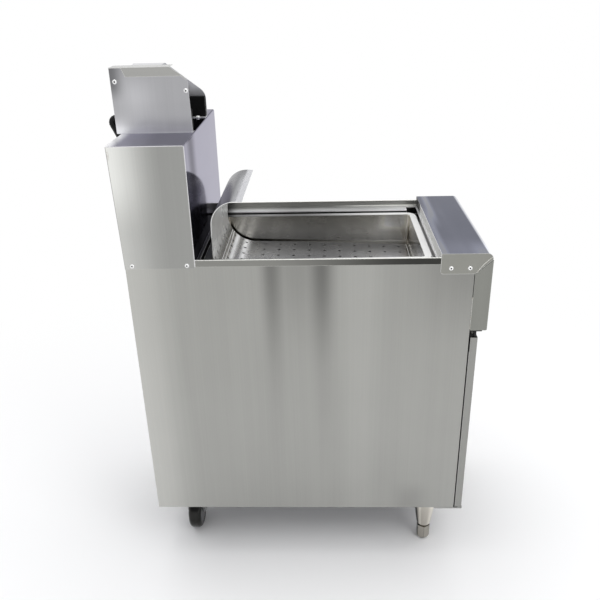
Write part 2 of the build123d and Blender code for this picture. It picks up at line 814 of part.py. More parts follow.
def junction():
    """Wiring box on the inside of the tower's rear sheet."""
    half = junction_width / 2
    rear = tower_rear(junction_z) - sheet
    body = block(junction_x - half, junction_x + half, rear - junction_depth, rear,
                 junction_z, junction_z + junction_height)
    return fillet(body.edges().filter_by(Axis.Z).group_by(Axis.Y)[0], junction_corner)


def switch_lead():
    """Lead from the wiring box, through the deck and along the right side panel, to the switch."""
    x = junction_x + lead_spread
    front = sheet + fascia_rail_flange + lead_clearance
    route = [(x, wire_hole_y, junction_z), (x, wire_hole_y, lead_z),
             (lead_x, wire_hole_y - lead_turn, lead_z), (lead_x, front + lead_fall_run, lead_z),
             (switch_x, front, switch_z),
             (switch_x, fascia_front + switch_depth, switch_z)]
    return lead(route, lead_radius, [lead_bend, lead_bend, lead_bend, lead_small_bend])


def lead_clips():
    """Saddle clips that hold the switch lead to the right side panel."""
    def clip(y):
        y0, y1 = y - clip_length / 2, y + clip_length / 2
        saddle = ring((lead_x, y0, lead_z), (lead_x, y1, lead_z), lead_radius + clip_wall, lead_radius)
        arm = block(lead_x + lead_radius + clip_wall / 2, panel_inner, y0, y1,
                    lead_z - clip_wall, lead_z + clip_wall)
        return saddle + arm
    return Part() + [clip(y) for y in clip_depths]


def supply_lead():
    """Lead from the inlet gland up the inside of the back panel to the wiring box."""
    x = junction_x - lead_spread
    start = back_inner - gland_length - sheet
    route = [(inlet_x, start, inlet_z), (inlet_x, wire_hole_y, inlet_z), (inlet_x, wire_hole_y, lead_z),
             (x, wire_hole_y, lead_z), (x, wire_hole_y, junction_z)]
    return lead(route, lead_radius, [lead_small_bend, lead_bend, lead_bend])


def switch_body():
    """Rocker switch housing with its bezel on the fascia; the rocker turns in its fork."""
    def box_round(wide, high, y0, y1):
        return block(switch_x - wide / 2, switch_x + wide / 2, y0, y1,
                     switch_z - high / 2, switch_z + high / 2)
    face = fascia_front
    bezel = box_round(switch_width + 2 * bezel_border, switch_height + 2 * bezel_border,
                      face - bezel_height, face)
    bezel = fillet(bezel.edges().filter_by(Axis.Y), bezel_border)
    body = box_round(switch_width - 2 * switch_slack, switch_height - 2 * switch_slack,
                     face, face + switch_depth)
    well_width = rocker_width + 2 * gap
    well = box_round(well_width, rocker_height + 2 * well_slack,
                     face - rocker_proud - cut, face + well_depth)
    x0, x1 = switch_x - well_width / 2, switch_x + well_width / 2
    axle = rod((x0, rocker_axle_y, switch_z), (x1, rocker_axle_y, switch_z), rocker_axle)
    return bezel + body - well + axle


def rocker():
    """Switch rocker: a paddle bent in the middle, bored for its axle."""
    face = fascia_front
    half, tall = rocker_width / 2, rocker_height / 2
    edge = [(face - rocker_proud, tall), (face - rocker_dip, 0), (face - rocker_low, -tall),
            (face + rocker_back, 1 - tall), (face + rocker_heel, 0), (face + rocker_back, tall - 1)]
    x0, x1 = switch_x - half, switch_x + half
    paddle = across([(y, switch_z + z) for y, z in edge], x0, x1)
    bore_radius = rocker_axle + running_gap
    return paddle - rod((x0 - cut, rocker_axle_y, switch_z), (x1 + cut, rocker_axle_y, switch_z), bore_radius)


# ---------------------------------------------------------------- door
def door_skin():
    """Folded outer skin with side and bottom returns and a finger pull along the top."""
    x0, x1 = -door_half, door_half
    rear = door_rear - trim_sheet
    pull = door_front + pull_return
    skin = block(x0, x1, door_front, door_front + sheet, door_bottom, door_top)
    skin += block(x0, x0 + sheet, door_front, rear, door_bottom, door_top)
    skin += block(x1 - sheet, x1, door_front, rear, door_bottom, door_top)
    skin += block(x0, x1, door_front, rear, door_bottom, door_bottom + sheet)
    skin += block(x0, x1, door_front, pull, door_top - sheet, door_top)
    skin += block(x0, x1, pull - sheet, pull, door_top - pull_lip, door_top)
    skin = fillet(skin.edges().filter_by(Axis.Z).group_by(Axis.Y)[0], sheet)
    skin -= [hinge_block_room(door_bottom - cut, door_bottom + hinge_block_height),
             hinge_block_room(door_top - hinge_block_height, door_top + cut)]
    return skin


def hinge_block_room(z0, z1):
    """Space in the door's hinge corners that a hinge block fills."""
    left = -door_half + sheet
    return block(left, left + hinge_block_width, door_front + sheet, door_rear - trim_sheet, z0, z1)


def door_liner():
    """Flat inner sheet that closes the door's back."""
    liner = block(-door_half, door_half, door_rear - trim_sheet, door_rear, door_bottom, liner_top)
    return fillet(liner.edges().filter_by(Axis.Z), liner_corner)


def pivot_pin(z0, z1, radius=pivot_pin_radius):
    """A stretch of pin on the door's axis."""
    return rod((pivot_x, pivot_y, z0), (pivot_x, pivot_y, z1), radius)


def door_hinge_blocks():
    """Bearing blocks in the door's hinge corners, bored for the pivot pins."""
    def bearing(z0, z1):
        return hinge_block_room(z0, z1) - pivot_pin(z0 - cut, z1 + cut, pivot_pin_radius + running_gap)
    low = bearing(door_bottom, door_bottom + hinge_block_height)
    high = bearing(door_top - hinge_block_height, door_top)
    return Part() + [low, high]


def top_hinge_bracket():
    """Bracket under the fascia with the pin that enters the door's top."""
    left = -half_width + sheet
    body = plate(left, left + bracket_width, fascia_front + bracket_setback, -fascia_joint - cut,
                 fascia_bottom - bracket_thickness, fascia_bottom, bracket_corner)
    return body + pivot_pin(door_top - hinge_block_height + pivot_end_gap, fascia_bottom)


def bottom_hinge_bracket():
    """Bracket under the cabinet with the pin and thrust collar that carry the door."""
    left = -panel_outer
    body = plate(left, left + bracket_width, door_front - bracket_proud, bracket_reach,
                 foot_height - bracket_thickness, foot_height, bracket_corner)
    pin = pivot_pin(foot_height, door_bottom + hinge_block_height - pivot_end_gap)
    return body + pin + pivot_pin(foot_height, door_bottom - gap, pivot_pin_radius + collar_width)


def magnetic_catch():
    """Catch on the right panel's front return, with its magnet facing the door."""
    x0 = catch_x - catch_width / 2
    z0, z1 = catch_z - catch_height / 2, catch_z + catch_height / 2
    case = block(x0 - catch_lip, panel_inner, sheet, sheet + catch_depth, z0, z1)
    magnet_right = panel_outer - edge_return - gap
    magnet_front = door_rear + trim_sheet + gap
    return case + block(x0, magnet_right, magnet_front, 2 * sheet, z0 + magnet_inset, z1 - magnet_inset)


def catch_strike():
    """Steel strike plate on the door's liner, facing the catch."""
    half, tall = catch_width / 2, catch_height / 2
    strike = block(catch_x - half, catch_x + half, door_rear, door_rear + trim_sheet,
                   catch_z - tall, catch_z + tall)
    return fillet(strike.edges().filter_by(Axis.Y), strike_corner)


# ---------------------------------------------------------------- pan and screen
def pan_form(shrink, depth, radius):
    """The pan's tapered well, measured inside the rim's flange."""
    wide = pan_width - 2 * (pan_flange + shrink)
    long = pan_rear - pan_front - 2 * (pan_flange + shrink)
    top = Plane(origin=(0, (pan_front + pan_rear) / 2, pan_rim_height), z_dir=(0, 0, -1))
    inwards = 2 * depth * tan(radians(pan_taper_angle))
    mouth = top * RectangleRounded(wide, long, pan_well_corner - shrink)
    base = top * Pos(0, 0, depth) * RectangleRounded(wide - inwards, long - inwards, pan_well_corner - shrink)
    return fillet(loft([mouth, base]).edges().group_by(Axis.Z)[0], radius)


def holding_pan():
    """Deep pan with nearly upright walls, and a flat rim with a turned-down lip."""
    rim = pan_outline(0, pan_rim_height - pan_lip, pan_rim_height, pan_corner)
    rim -= pan_outline(-pan_sheet, pan_rim_height - 2 * pan_lip, pan_rim_height - pan_sheet,
                       pan_corner - pan_sheet)
    outer = pan_form(0, pan_depth, pan_floor_radius + pan_sheet)
    inner = pan_form(pan_sheet, pan_depth - pan_sheet, pan_floor_radius)
    return rim + outer - inner


def screen_runner(side):
    """Upright strip that carries the leaning false bottom on the pan's floor."""
    middle_y = (screen_front + screen_back - screen_low_radius) / 2
    front, rear = middle_y - screen_runner_length / 2, middle_y + screen_runner_length / 2
    foot = pan_floor + pan_sheet + gap

    def head(y):
        return screen_floor_height - sheet / 2 + (y - middle_y) * tan(radians(screen_tilt))
    x = side * runner_x
    return across([(front, foot), (rear, foot), (rear, head(rear)), (front, head(front))],
                  x - sheet / 2, x + sheet / 2)


def screen_drills():
    """Cutters for the holes in the false bottom and the curved back."""
    first_x = -(hole_rows - 1) / 2 * hole_pitch_width
    columns = [first_x + row * hole_pitch_width for row in range(hole_rows)]
    radius = hole_diameter / 2
    drills = []
    for column in range(hole_columns):
        y = screen_front + hole_start + column * hole_pitch_length
        drills += [Pos(x, y, screen_floor_height) * Cylinder(radius, 4 * sheet) for x in columns]
    centre_y, centre_z = screen_back - screen_low_radius, screen_floor_height + screen_low_radius
    near, far = screen_low_radius - curve_hole_reach, screen_low_radius + curve_hole_reach
    for angle in curve_hole_angles:
        out_y, out_z = sin(radians(angle)), -cos(radians(angle))
        drills += [rod((x, centre_y + out_y * near, centre_z + out_z * near),
                       (x, centre_y + out_y * far, centre_z + out_z * far), radius) for x in columns]
    return drills


def perforated_screen():
    """Leaning false bottom on two runners, curved up at the back and curled forward at the top."""
    edge = [(screen_front, screen_floor_height - screen_front_drop), (screen_front, screen_floor_height),
            (screen_back, screen_floor_height), (screen_back, screen_top),
            (screen_lip, screen_top - screen_lip_drop)]
    bends = [screen_front_fold, screen_low_radius, screen_high_radius]
    form = across(folded(edge, -sheet, bends), -screen_half, screen_half)
    corner = make_face(Polyline((screen_half + cut, screen_front - cut),
                                (screen_half + cut, screen_front + screen_corner_cut),
                                (screen_half - screen_corner_cut, screen_front - cut), close=True))
    corner = Pos(0, 0, screen_floor_height) * extrude(corner, 2 * screen_front_drop, both=True)
    screen = form - screen_drills() - [corner, on_side(corner, -1)]
    hinge = Axis((0, (screen_front + screen_back - screen_low_radius) / 2, screen_floor_height), (1, 0, 0))
    return screen.rotate(hinge, screen_tilt) + [screen_runner(-1), screen_runner(1)]


# ---------------------------------------------------------------- feet and castors
def mounting_plate():
    """Square plate under the base frame."""
    half = plate_size / 2
    return plate(-half, half, -half, half, plate_bottom, frame_bottom, plate_corner)


def leg_sleeve(side):
    """Tapered leg sleeve on its mounting plate, bored for the adjustable insert."""
    outline = [(0, plate_bottom), (leg_top_radius, plate_bottom),
               (leg_top_radius, plate_bottom - leg_straight),
               (leg_low_radius + leg_cuff_width, leg_bottom + leg_cuff_height), (leg_low_radius, leg_bottom),
               (0, leg_bottom)]
    profile = make_face(Polyline(*outline, close=True))
    shoulder = profile.vertices().group_by(Axis.X)[-1].sort_by(Axis.Y)[0]
    profile = fillet(shoulder, leg_shoulder_round)
    body = revolve(Plane.XZ * profile, Axis.Z)
    body -= rod((0, 0, leg_bottom - cut), (0, 0, leg_bore_top), stem_radius + running_gap)
    return Pos(side * foot_x, leg_depth, 0) * (body + mounting_plate())


def foot_insert(side):
    """Hexagonal foot with a rounded bottom and a stem that runs in the sleeve."""
    apothem = insert_flats / 2
    hexagon = extrude(RegularPolygon(apothem, 6, major_radius=False), insert_height)
    bullet = Cylinder(apothem * insert_swell, insert_height, align=UP)
    bullet = fillet(bullet.edges().sort_by(Axis.Z)[0], insert_round)
    foot = hexagon.intersect(bullet)
    stem = rod((0, 0, insert_height - cut), (0, 0, stem_top), stem_radius)
    return Pos(side * foot_x, leg_depth, 0) * (Part() + foot + stem)


def castor_at(side, piece):
    """A castor's piece on its swivel axis, with the wheel trailing towards the cabinet's middle."""
    return Pos(side * castor_x, castor_y, 0) * on_side(piece, -side)


def castor_plate(side):
    """Mounting plate and upper race of a castor."""
    race = rod((0, 0, plate_bottom - race_height), (0, 0, plate_bottom), race_radius)
    race = fillet(race.edges().group_by(Axis.Z)[0], race_round)
    bore_radius = kingpin_radius + running_gap
    bore = rod((0, 0, plate_bottom - race_height - cut), (0, 0, plate_bottom), bore_radius)
    return castor_at(side, mounting_plate() + race - bore)


def castor_fork(side):
    """Swivelling fork with its kingpin, crown and two legs."""
    half = fork_width / 2
    crown_top = fork_crown + crown_plate
    rear = crown_setback - race_radius
    crown = rod((0, 0, fork_crown), (0, 0, fork_top), race_radius - crown_plate)
    crown += plate(rear, race_radius, -half, half, fork_crown, crown_top, fork_corner)
    pin = rod((0, 0, fork_crown), (0, 0, plate_bottom - gap), kingpin_radius)
    outline = [(rear, crown_top), (race_radius, crown_top),
               (castor_trail + fork_eye, wheel_radius + fork_eye_rise),
               (castor_trail + fork_eye_flat, wheel_radius - fork_eye_drop),
               (castor_trail - fork_eye_flat, wheel_radius - fork_eye_drop),
               (castor_trail - fork_eye - cut, wheel_radius + fork_eye_rise)]
    leg_face = Plane.XZ * make_face(Polyline(*outline, close=True))
    legs = [Pos(0, y, 0) * extrude(leg_face, fork_sheet) for y in (half, fork_sheet - half)]
    return castor_at(side, crown + pin + legs - on_axle(half + cut, axle_radius))


def on_axle(half, radius):
    """A round bar along a castor's axle, half its length each side of the middle."""
    return rod((castor_trail, -half, wheel_radius), (castor_trail, half, wheel_radius), radius)


def castor_axle(side):
    """Axle bolt and nut through the fork."""
    half = fork_width / 2
    hexagon = extrude(RegularPolygon(axle_head_radius, 6), axle_head)
    heads = [Plane(origin=(castor_trail, y, wheel_radius), z_dir=(0, 1, 0)) * hexagon
             for y in (-half - axle_head, half)]
    return castor_at(side, on_axle(half + axle_head, axle_radius) + heads)


def castor_hub(side):
    """Wheel centre, bored to run on the axle."""
    disc = on_axle(hub_width / 2, axle_radius + hub_boss) + on_axle(wheel_width / 2 - hub_recess, hub_radius)
    return castor_at(side, disc - on_axle(hub_width / 2 + cut, axle_radius + running_gap))


def castor_tyre(side):
    """Rounded tyre around the wheel centre."""
    tyre = on_axle(wheel_width / 2, wheel_radius)
    tyre = fillet(tyre.edges().filter_by(GeomType.CIRCLE), tyre_round)
    return castor_at(side, tyre - on_axle(wheel_width / 2 + cut, hub_radius))


# ---------------------------------------------------------------- the sub-parts
def pieces():
    """Every sub-part by name."""
    made = {
        "left_side_panel": side_panel(-1),
        "right_side_panel": side_panel(1),
        "back_panel": back_panel(),
        "base_frame": base_frame(),
        "cabinet_floor": cabinet_floor(),
        "left_top_rail": top_rail(-1),
        "right_top_rail": top_rail(1),
        "top_deck": top_deck(),
        "front_ledge": front_ledge(),
        "front_fascia": front_fascia(),
        "fascia_rail": fascia_rail(),
        "ledge_screws": side_screws(ledge_screw_places, half_width),
        "tower_left_side": tower_side(-1),
        "tower_right_side": tower_side(1),
        "tower_wrap": tower_wrap(),
        "tower_back": tower_back(),
        "tower_screws": side_screws(tower_screw_places, half_width),
        "left_cheek": left_cheek_plate(),
        "right_cheek": right_cheek_plate(),
        "cheek_cap": cheek_cap(),
        "lamp_hood": hood(),
        "cheek_screws": Part() + [screw((left_cheek, *place), (-1, 0, 0)) for place in cheek_screw_places],
        "foot_screw": screw((foot_screw_x, foot_screw_y, tower_top + sheet), (0, 0, 1)),
        "left_lamp_block": lamp_block(head_left, block_left),
        "right_lamp_block": lamp_block(block_right, head_right),
        "lamp_reflector": reflector(),
        "heater_rod": heater(),
        "heater_bushes": heater_bushes(),
        "heater_guard": heater_guard(),
        "terminal_block": terminal_block(),
        "conduit_glands": conduit_glands(),
        "lamp_conduit": lamp_conduit(),
        "inlet_gland": inlet_gland(),
        "wiring_box": junction(),
        "switch_lead": switch_lead(),
        "lead_clips": lead_clips(),
        "supply_lead": supply_lead(),
        "switch_body": switch_body(),
        "switch_rocker": rocker(),
        "door_skin": door_skin(),
        "door_liner": door_liner(),
        "door_hinge_blocks": door_hinge_blocks(),
        "catch_strike": catch_strike(),
        "top_hinge_bracket": top_hinge_bracket(),
        "bottom_hinge_bracket": bottom_hinge_bracket(),
        "magnetic_catch": magnetic_catch(),
        "holding_pan": holding_pan(),
        "perforated_screen": perforated_screen(),
        "leg_sleeves": both_sides(leg_sleeve),
        "castor_plates": both_sides(castor_plate),
    }
    for name, side in (("left", -1), ("right", 1)):
        made[f"{name}_foot_insert"] = foot_insert(side)
        made[f"{name}_castor_fork"] = castor_fork(side)
        made[f"{name}_castor_axle"] = castor_axle(side)
        made[f"{name}_castor_hub"] = castor_hub(side)
        made[f"{name}_castor_tyre"] = castor_tyre(side)
    return made


os.makedirs("parts", exist_ok=True)
for name, piece in pieces().items():
    export_step(Pos(0, -middle, 0) * piece, f"parts/{name}.step")
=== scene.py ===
"""The looks of the chip warmer: its finishes, the pieces made here, the light and the camera.

Metres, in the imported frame: X to the right seen from the front, Y from the front to the back,
Z up from the floor.  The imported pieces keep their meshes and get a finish.  The weld beads, the ribbed
conduit and the rocker's marks are made here, from places in the drawing.
"""
from math import ceil, cos, pi, radians, sin, tan, tau

import bmesh
import bpy
from mathutils import Matrix, Vector


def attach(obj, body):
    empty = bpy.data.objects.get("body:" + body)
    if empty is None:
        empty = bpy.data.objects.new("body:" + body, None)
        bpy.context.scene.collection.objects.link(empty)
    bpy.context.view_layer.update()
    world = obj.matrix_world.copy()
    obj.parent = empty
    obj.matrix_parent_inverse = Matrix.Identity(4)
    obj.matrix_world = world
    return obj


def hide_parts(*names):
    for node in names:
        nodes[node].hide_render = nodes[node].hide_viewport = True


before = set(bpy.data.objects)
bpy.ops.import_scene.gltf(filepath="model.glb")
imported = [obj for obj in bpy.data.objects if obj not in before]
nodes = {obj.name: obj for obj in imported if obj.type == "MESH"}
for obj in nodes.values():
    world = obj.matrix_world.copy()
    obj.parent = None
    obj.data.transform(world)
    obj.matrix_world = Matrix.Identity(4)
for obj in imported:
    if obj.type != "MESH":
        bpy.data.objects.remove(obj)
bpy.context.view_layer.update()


# ---------------------------------------------------------------- shader building
class Value:
    """A shader value.  Arithmetic on it adds Math nodes."""

    def __init__(self, finish, socket):
        self.finish = finish
        self.socket = socket

    def math(self, operation, first, second):
        """A Math node on two values."""
        return self.finish.node("ShaderNodeMath", {"operation": operation}, {0: first, 1: second})

    def __add__(self, other):
        return self.math("ADD", self, other)

    def __radd__(self, other):
        return self.math("ADD", other, self)

    def __sub__(self, other):
        return self.math("SUBTRACT", self, other)

    def __rsub__(self, other):
        return self.math("SUBTRACT", other, self)

    def __mul__(self, other):
        return self.math("MULTIPLY", self, other)

    def __rmul__(self, other):
        return self.math("MULTIPLY", other, self)

    def __abs__(self):
        return self.math("ABSOLUTE", self, 0)

    def above(self, low, high):
        """0 up to low, rising smoothly to 1 at high."""
        bounds = {"From Min": low, "From Max": high}
        smooth = {"interpolation_type": "SMOOTHSTEP"}
        return self.finish.node("ShaderNodeMapRange", smooth, {"Value": self, **bounds})

    def near(self, centre, width):
        """1 at the centre, falling smoothly to 0 at this distance from it."""
        return 1 - abs(self - centre).above(0, width)

    def below(self, low, high):
        """1 down from low, falling smoothly to 0 at high."""
        return 1 - self.above(low, high)


class Finish:
    """The node tree of a material or of the world, and the ways to fill it."""

    def __init__(self, owner, place="Object"):
        owner.use_nodes = True
        self.owner = owner
        self.tree = owner.node_tree
        self.tree.nodes.clear()
        self.place = self.node("ShaderNodeTexCoord", output=place)

    def node(self, kind, settings=None, inputs=None, output=0):
        """A node of this kind: its settings first, then the values or links of its sockets."""
        made = self.tree.nodes.new(kind)
        for name, setting in (settings or {}).items():
            setattr(made, name, setting)
        for key, value in (inputs or {}).items():
            if isinstance(value, Value):
                self.tree.links.new(value.socket, made.inputs[key])
            else:
                made.inputs[key].default_value = value
        return Value(self, made.outputs[output])

    def along(self, axis):
        """The place along X, Y or Z, in metres."""
        return self.node("ShaderNodeSeparateXYZ", inputs={0: self.place}, output=axis)

    def facing(self, axis):
        """How far the surface faces along X, Y or Z."""
        normal = self.node("ShaderNodeNewGeometry", output="Normal")
        return self.node("ShaderNodeSeparateXYZ", inputs={0: normal}, output=axis)

    def noise(self, scale, detail=3.0):
        """Noise stretched by a scale along each axis, in features per metre."""
        stretched = self.node("ShaderNodeVectorMath", {"operation": "MULTIPLY"}, {0: self.place, 1: scale})
        return self.node("ShaderNodeTexNoise", inputs={"Vector": stretched, "Scale": 1.0, "Detail": detail})

    def blend(self, factor, one, other):
        """From one colour to the other."""
        return self.node("ShaderNodeMix", {"data_type": "RGBA"}, {0: factor, 6: one, 7: other}, output=2)

    def shaded(self, colour, amount):
        """A colour times a grey amount."""
        settings = {"data_type": "RGBA", "blend_type": "MULTIPLY"}
        return self.node("ShaderNodeMix", settings, {0: 1.0, 6: colour, 7: amount}, output=2)

    def edges(self, radius, sharp=0.06):
        """1 along the piece's edges, 0 on its faces."""
        rounded = self.node("ShaderNodeBevel", {"samples": 6}, {"Radius": radius})
        normal = self.node("ShaderNodeNewGeometry", output="Normal")
        product = {"operation": "DOT_PRODUCT"}
        turned = self.node("ShaderNodeVectorMath", product, {0: rounded, 1: normal}, "Value")
        return (1 - turned).above(0.01, sharp)

    def bump(self, height, distance):
        """A normal pushed about by a height, in metres."""
        return self.node("ShaderNodeBump", {}, {"Strength": 1.0, "Distance": distance, "Height": height})

    def gloss(self, **inputs):
        """A principled surface on the material's output; the material itself comes back."""
        named = {key.replace("_", " "): value for key, value in inputs.items()}
        return self.output(self.node("ShaderNodeBsdfPrincipled", inputs=named))

    def output(self, shader, kind="ShaderNodeOutputMaterial"):
        """The shader on the tree's output."""
        out = self.tree.nodes.new(kind)
        self.tree.links.new(shader.socket, out.inputs["Surface"])
        return self.owner


def material(name):
    """A new material's empty finish."""
    return Finish(bpy.data.materials.new(name))


def flat(colour):
    """A colour with its alpha."""
    return (*colour, 1.0)


# ---------------------------------------------------------------- finishes
FINE = 420                          # grain marks per metre, across the grain
BROAD = 34
LENGTHWISE = 1.5
SKIN = 900                          # grain marks per metre, on rubber and plastic
NOISE_MIDDLE = 0.5
# The bright line along folded edges is a painted highlight.
FOLD_EDGE = 0.0014                  # reach of the bright line along a folded edge
BRIGHTEST = 0.95                    # of any steel
UPWARDS = (0.6, 0.9)                # from level enough to level
TURNED = (0.5, 0.8)                 # from askew to facing an axis
DEEP_BLACK = (0.02, 0.02, 0.02, 1.0)


def lightened(colour, times):
    """A colour made this many times lighter, as far as steel goes."""
    return flat([min(BRIGHTEST, part * times) for part in colour])


def swing(marks, amount):
    """Noise as a change to either side of nothing."""
    return (marks - NOISE_MIDDLE) * amount


def along_grain(grain, across):
    """Noise scale for marks that run along one axis."""
    return tuple(LENGTHWISE if axis == grain else across for axis in "XYZ")


def brushed(name, colour, grain="Z", roughness=0.32, streaks=0.10, clouds=0.10, edge_light=0.35, shade=None,
            tint=None, dull=None):
    """Brushed stainless steel: fine streaks along the grain, soft clouds, a painted highlight along the
    edges, dulled places.
    """
    steel = material(name)
    fine = steel.noise(along_grain(grain, FINE), 2.0)
    broad = steel.noise(along_grain(grain, BROAD), 3.0)
    cloud = steel.noise((5, 5, 5), 2.0)
    level = 1 + swing(fine, streaks) + swing(broad, streaks) + swing(cloud, clouds)
    if shade:
        level = level * shade(steel)
    base = steel.shaded(flat(colour), level)
    if tint:
        base = tint(steel, base)
    base = steel.blend(steel.edges(FOLD_EDGE) * edge_light, base, lightened(colour, 2.1))
    polish = roughness + swing(fine, 0.10) + swing(cloud, 0.08)
    metal = 1 - dull(steel) if dull else 1.0
    return steel.gloss(Base_Color=base, Metallic=metal, Roughness=polish, Normal=steel.bump(fine, 0.00002))


def polished(name, colour, roughness, smudge=0.10, edge_light=0.5):
    """Bright-rolled stainless steel: mirror-like, with wipe marks, a faint waviness and a painted highlight
    along the edges.
    """
    steel = material(name)
    wipes = steel.noise((9, 60, 9), 3.0)
    cloud = steel.noise((6, 6, 6), 3.0)
    level = 1 + swing(cloud, 0.20) + swing(wipes, 0.08)
    base = steel.shaded(flat(colour), level)
    base = steel.blend(steel.edges(FOLD_EDGE) * edge_light, base, lightened(colour, 1.6))
    polish = roughness + cloud.above(0.45, 0.75) * smudge + swing(wipes, 0.04)
    return steel.gloss(Base_Color=base, Metallic=1.0, Roughness=polish, Normal=steel.bump(cloud, 0.0004))


def moulded(name, colour, roughness=0.4, specular=0.5, coat=0.0, grain=SKIN):
    """Moulded plastic or rubber with a fine skin."""
    plastic = material(name)
    skin = plastic.noise((grain, grain, grain), 2.0)
    cloud = plastic.noise((25, 25, 25), 2.0)
    base = plastic.shaded(flat(colour), 1 + swing(cloud, 0.3))
    polish = roughness + swing(cloud, 0.15)
    return plastic.gloss(Base_Color=base, Roughness=polish, Specular_IOR_Level=specular, Coat_Weight=coat,
                         Coat_Roughness=0.12, Normal=plastic.bump(skin, 0.00004))


def ceramic(name):
    """Unglazed ceramic."""
    clay = material(name)
    grains = clay.noise((600, 600, 600), 3.0)
    base = clay.blend(grains, flat((0.80, 0.77, 0.70)), flat((0.68, 0.64, 0.56)))
    return clay.gloss(Base_Color=base, Roughness=0.7, Normal=clay.bump(grains, 0.00008))


def heated(name):
    """Heater sheath dulled and blued by heat."""
    sheath = material(name)
    bands = sheath.noise((30, 8, 8), 3.0)
    base = sheath.blend(bands.above(0.35, 0.7), flat((0.22, 0.20, 0.19)), flat((0.16, 0.13, 0.15)))
    return sheath.gloss(Base_Color=base, Metallic=1.0, Roughness=0.45 + swing(bands, 0.2))


def panel_shade(steel):
    """Painted reflection and shade on a side panel: soft dark vertical bands strongest near its top, a
    lighter strip ahead of them, a darker front corner and foot, and a lighter rear margin.
    """
    y, z = steel.along("Y"), steel.along("Z")
    low_fade, high_fade = z.above(0.18, 0.66), z.above(0.52, 0.80)
    rear_band = y.near(0.058, 0.030) * (low_fade * 0.14 + high_fade * 0.26)
    front_band = y.near(-0.048, 0.036) * (low_fade * 0.13 + high_fade * 0.34)
    between = y.near(0.005, 0.085) * high_fade * 0.20
    bright = y.near(-0.128, 0.060) * 0.09
    front_corner = y.below(-0.350, -0.150) * z.above(0.58, 0.80) * 0.26
    front_foot = y.near(-0.250, 0.060) * z.below(0.18, 0.24) * 0.14
    rear = y.above(0.240, 0.350) * 0.40
    return 1 - rear_band - front_band - between + bright - front_corner - front_foot + rear


def tower_shade(steel):
    """Painted reflection on the tower's sides: lighter towards the rear edge, most of all near the top."""
    rear = steel.along("Y").above(0.255, 0.372)
    return 1 + rear * (0.75 + steel.along("Z").above(0.84, 0.97) * 0.85)


def rusted(steel, base):
    """A small rust stain at the tower's rear top corner."""
    spot = steel.along("Y").above(0.352, 0.362) * steel.along("Z").near(1.006, 0.013)
    blot = steel.noise((260, 260, 160), 3.0).above(0.38, 0.58)
    return steel.blend(spot * blot, base, flat((0.16, 0.075, 0.03)))


def inner_cheek(steel):
    """The inner face of the right cheek."""
    return steel.along("X").above(0.1125, 0.1128) * steel.facing("X").below(-0.9, -0.5)


def cheek_dull(steel):
    """Where the cheeks are dull: the right one inside, and the near one's foot."""
    return inner_cheek(steel) * 0.6 + steel.along("Z").below(1.0245, 1.0265) * 0.5


def cheek_shade(steel):
    """Painted light on the head's sides: a lighter band behind, a darker top corner, a light foot and heel,
    and the right cheek's inner face lighter above and darker below.
    """
    y, z = steel.along("Y"), steel.along("Z")
    band = y.near(0.322, 0.060) * z.near(1.095, 0.060) * 0.28
    corner = y.above(0.335, 0.366) * z.above(1.08, 1.12) * 0.55
    foot = z.below(1.03, 1.08) * 0.26 + z.below(1.026, 1.045) * 0.35
    heel = z.below(1.03, 1.06) * y.above(0.335, 0.372) * 0.5
    return (1 + band - corner + foot + heel) * (1 + inner_cheek(steel) * (z.above(1.065, 1.095) - 0.2))


def cap_shade(steel):
    """Painted light: the cap's top face brighter than its sides."""
    return 1 + steel.facing("Z").above(*UPWARDS) * 0.95


def rail_top(steel):
    """The rails' narrow top faces."""
    return steel.facing("Z").above(*UPWARDS) * steel.along("Z").above(0.7895, 0.7900)


def rail_foot(steel):
    """The rails' inner faces just over the deck, towards the front."""
    low = steel.along("Z").below(0.7785, 0.7800) * abs(steel.along("X")).below(0.1960, 0.1964)
    return low * steel.along("Y").below(-0.16, -0.05)


def rail_shade(steel):
    """Painted reflection and highlights on the rails: outer faces darker towards the front, bright tops and
    feet.
    """
    outer = abs(steel.along("X")).above(0.1990, 0.1994) * steel.facing("Z").below(0.2, 0.6)
    level = 1 - outer * (0.06 + steel.along("Y").below(-0.24, 0.10) * 0.76)
    return level + rail_top(steel) * 2.4 + rail_foot(steel) * 2.2


def rail_dull(steel):
    """Where the rails are less metallic, under their painted highlights: along their tops and feet."""
    return rail_top(steel) * 0.8 + rail_foot(steel) * 0.7


def deck_front(steel):
    """The deck's channel in front of the pan, short of its far corner."""
    return steel.along("Y").below(-0.273, -0.268) * steel.along("X").below(0.08, 0.13)


def deck_shade(steel):
    """Painted reflection on the deck's strips: bright at both ends and along their edges, dimmer between."""
    x, y = abs(steel.along("X")), steel.along("Y")
    across = x.below(0.163, 0.176) * 0.16 - x.above(0.176, 0.192) * 0.30
    ends = y.near(0.115, 0.09) * 0.25 + y.near(-0.235, 0.10) * 0.25
    return 0.86 + across + ends - y.near(0.02, 0.09) * 0.12


def deck_dull(steel):
    """Where the deck is dull: in its channel in front."""
    return deck_front(steel) * steel.along("Z").below(0.7740, 0.7755) * 0.7


def deck_painted_shade(steel, base):
    """Painted shade on the deck: its channel darkened, less in front, and its rear strip under the curl
    darkened almost to black.
    """
    # painted shade: the near-black colour of the channel and the rear strip
    painted_shade = flat((0.03, 0.028, 0.026))
    front = deck_front(steel)
    base = steel.blend(steel.along("Z").below(0.7725, 0.7750) * (1 - front * 0.35), base, painted_shade)
    return steel.blend(steel.along("Y").above(0.165, 0.195) * 0.95, base, painted_shade)


def dress(finish, *names):
    """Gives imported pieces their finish."""
    for name in names:
        mesh = nodes[name].data
        mesh.materials.clear()
        mesh.materials.append(finish)


